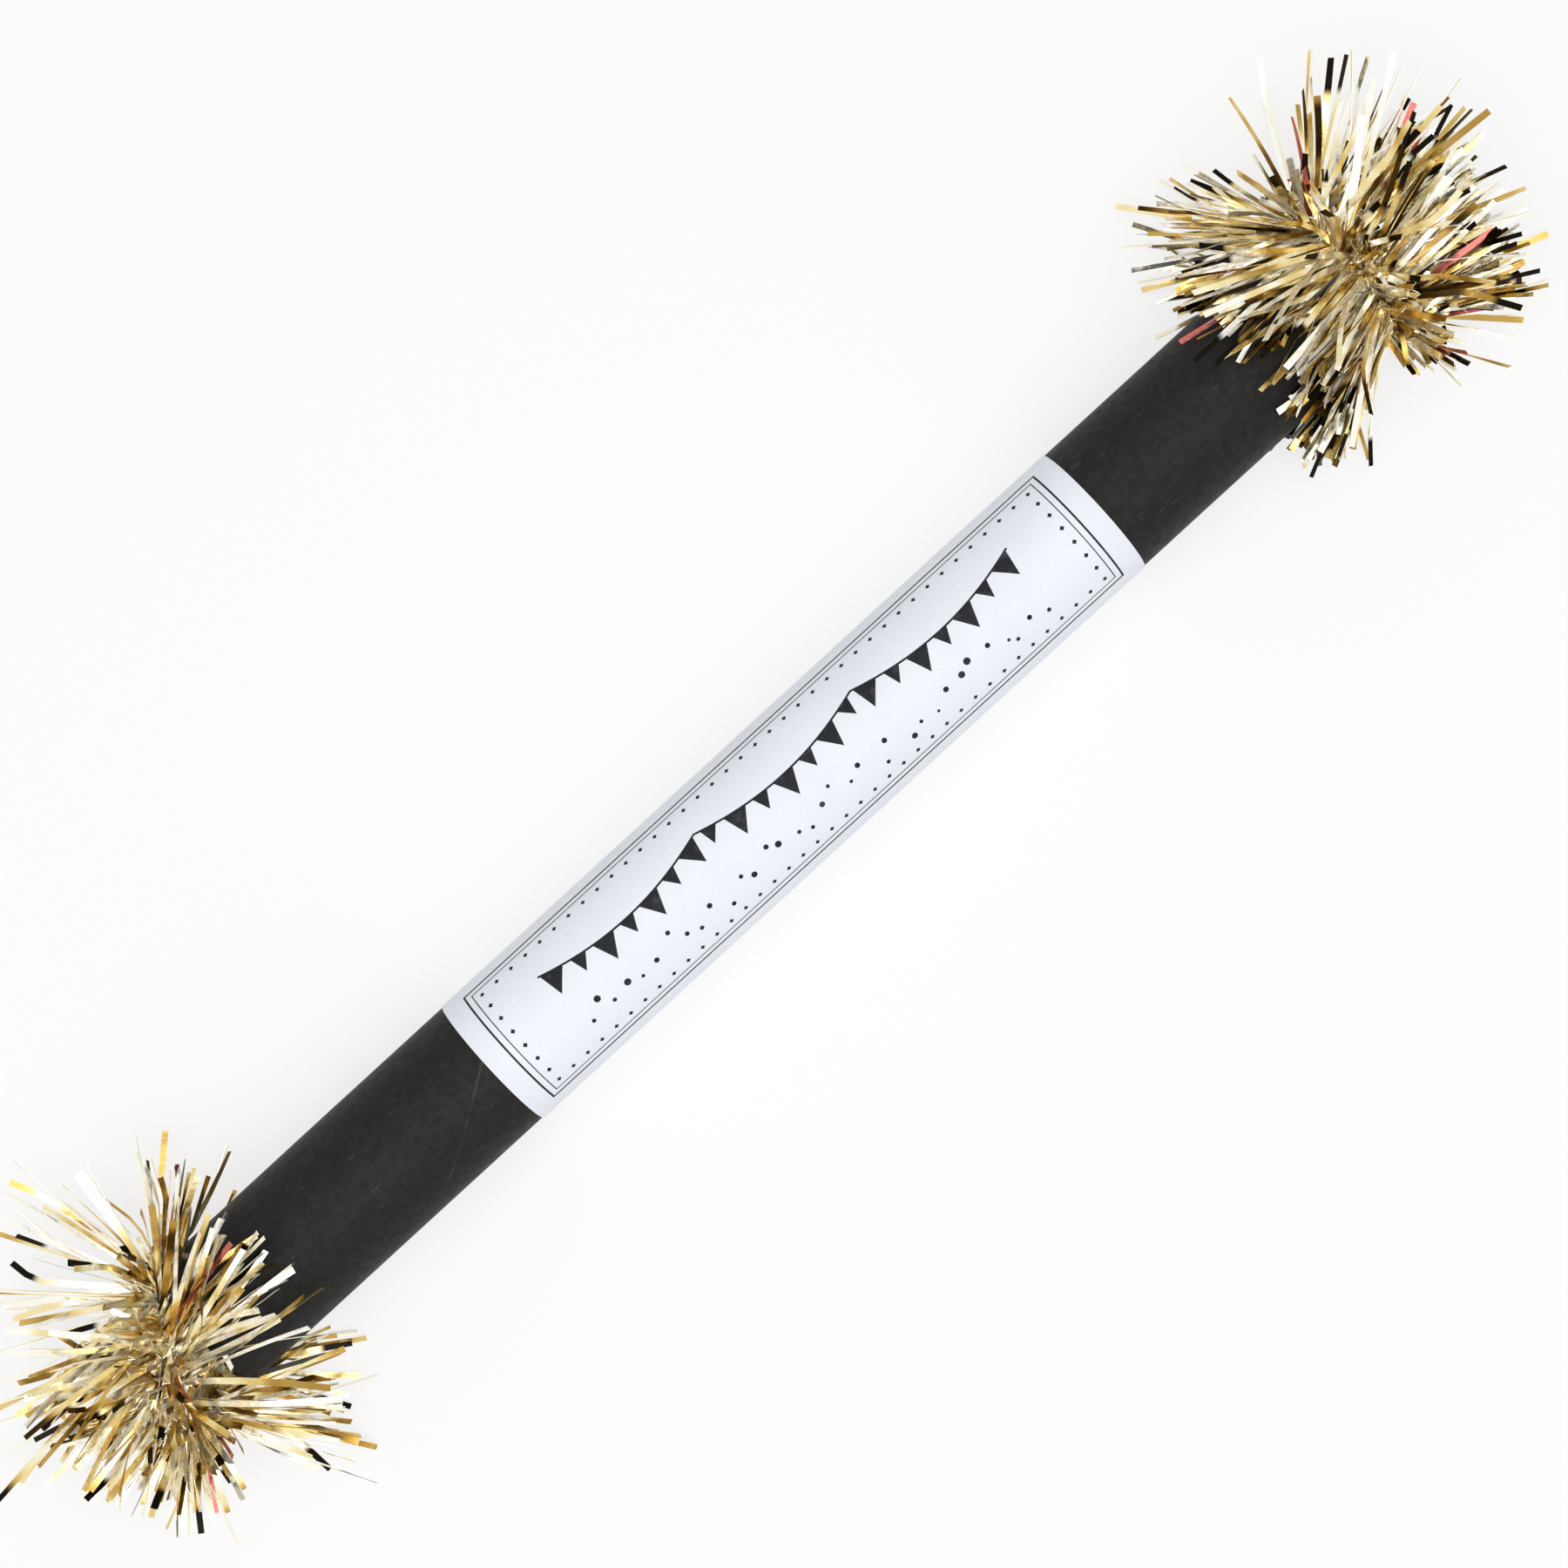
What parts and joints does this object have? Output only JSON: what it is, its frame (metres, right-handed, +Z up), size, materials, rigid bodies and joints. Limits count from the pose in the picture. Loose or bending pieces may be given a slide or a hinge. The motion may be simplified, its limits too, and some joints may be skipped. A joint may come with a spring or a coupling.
{
  "type": "sparkler gift tube",
  "caption": "Black card gift tube of hand-held sparklers with a white label band; a gold tinsel tuft plugs each mouth, pulls out along the tube and lets the sparklers slide out.",
  "frame": {"origin": "middle of the tube, on its axis", "axes": "+X along the tube to the right tuft, +Z up with the tube lying on its side, label front up"},
  "size_m": [0.3893, 0.0956, 0.0609],
  "materials": {
    "tube_board": "wound kraft board",
    "tube_paper": "matt black paper",
    "label_paper": "smooth white paper",
    "sparkler_wire": "drawn wire",
    "sparkler_coating": "dipped, grainy",
    "tinsel": "metallised foil",
    "garland_wire": "drawn wire"
  },
  "bodies": {
    "tube": {"tube_core": "tube_board", "tube_cover": "tube_paper", "label_band": "label_paper"},
    "right_tuft": {"right_garland_core": "garland_wire", "right_fringe_middle": "tinsel", "right_fringe_back_low": "tinsel", "right_fringe_back_high": "tinsel", "right_fringe_front_high": "tinsel", "right_fringe_front_low": "tinsel"},
    "left_tuft": {"left_garland_core": "garland_wire", "left_fringe_middle": "tinsel", "left_fringe_back_low": "tinsel", "left_fringe_back_high": "tinsel", "left_fringe_front_high": "tinsel", "left_fringe_front_low": "tinsel"},
    "sparkler_01": {"sparkler_01_wire": "sparkler_wire", "sparkler_01_coating": "sparkler_coating"},
    "sparkler_02": {"sparkler_02_wire": "sparkler_wire", "sparkler_02_coating": "sparkler_coating"},
    "sparkler_03": {"sparkler_03_wire": "sparkler_wire", "sparkler_03_coating": "sparkler_coating"},
    "sparkler_04": {"sparkler_04_wire": "sparkler_wire", "sparkler_04_coating": "sparkler_coating"},
    "sparkler_05": {"sparkler_05_wire": "sparkler_wire", "sparkler_05_coating": "sparkler_coating"},
    "sparkler_06": {"sparkler_06_wire": "sparkler_wire", "sparkler_06_coating": "sparkler_coating"},
    "sparkler_07": {"sparkler_07_wire": "sparkler_wire", "sparkler_07_coating": "sparkler_coating"},
    "sparkler_08": {"sparkler_08_wire": "sparkler_wire", "sparkler_08_coating": "sparkler_coating"},
    "sparkler_09": {"sparkler_09_wire": "sparkler_wire", "sparkler_09_coating": "sparkler_coating"},
    "sparkler_10": {"sparkler_10_wire": "sparkler_wire", "sparkler_10_coating": "sparkler_coating"}
  },
  "joints": [
    {"name": "right_tuft_pull", "type": "slide", "parent": "tube", "child": "right_tuft", "axis": [1, 0, 0], "range_m": [0, 0.34]},
    {"name": "left_tuft_pull", "type": "slide", "parent": "tube", "child": "left_tuft", "axis": [-1, 0, 0], "range_m": [0, 0.08]},
    {"name": "sparkler_01_slide", "type": "slide", "parent": "tube", "child": "sparkler_01", "axis": [1, 0, 0], "range_m": [0, 0.2856]},
    {"name": "sparkler_02_slide", "type": "slide", "parent": "tube", "child": "sparkler_02", "axis": [1, 0, 0], "range_m": [0, 0.2907]},
    {"name": "sparkler_03_slide", "type": "slide", "parent": "tube", "child": "sparkler_03", "axis": [1, 0, 0], "range_m": [0, 0.2958]},
    {"name": "sparkler_04_slide", "type": "slide", "parent": "tube", "child": "sparkler_04", "axis": [1, 0, 0], "range_m": [0, 0.3009]},
    {"name": "sparkler_05_slide", "type": "slide", "parent": "tube", "child": "sparkler_05", "axis": [1, 0, 0], "range_m": [0, 0.306]},
    {"name": "sparkler_06_slide", "type": "slide", "parent": "tube", "child": "sparkler_06", "axis": [1, 0, 0], "range_m": [0, 0.3111]},
    {"name": "sparkler_07_slide", "type": "slide", "parent": "tube", "child": "sparkler_07", "axis": [1, 0, 0], "range_m": [0, 0.3162]},
    {"name": "sparkler_08_slide", "type": "slide", "parent": "tube", "child": "sparkler_08", "axis": [1, 0, 0], "range_m": [0, 0.3213]},
    {"name": "sparkler_09_slide", "type": "slide", "parent": "tube", "child": "sparkler_09", "axis": [1, 0, 0], "range_m": [0, 0.3264]},
    {"name": "sparkler_10_slide", "type": "slide", "parent": "tube", "child": "sparkler_10", "axis": [1, 0, 0], "range_m": [0, 0.3315]}
  ],
  "couplings": [
    {"joint": "sparkler_01_slide", "follows": "right_tuft_pull", "ratio": 0.84},
    {"joint": "sparkler_02_slide", "follows": "right_tuft_pull", "ratio": 0.855},
    {"joint": "sparkler_03_slide", "follows": "right_tuft_pull", "ratio": 0.87},
    {"joint": "sparkler_04_slide", "follows": "right_tuft_pull", "ratio": 0.885},
    {"joint": "sparkler_05_slide", "follows": "right_tuft_pull", "ratio": 0.9},
    {"joint": "sparkler_06_slide", "follows": "right_tuft_pull", "ratio": 0.915},
    {"joint": "sparkler_07_slide", "follows": "right_tuft_pull", "ratio": 0.93},
    {"joint": "sparkler_08_slide", "follows": "right_tuft_pull", "ratio": 0.945},
    {"joint": "sparkler_09_slide", "follows": "right_tuft_pull", "ratio": 0.96},
    {"joint": "sparkler_10_slide", "follows": "right_tuft_pull", "ratio": 0.975}
  ]
}
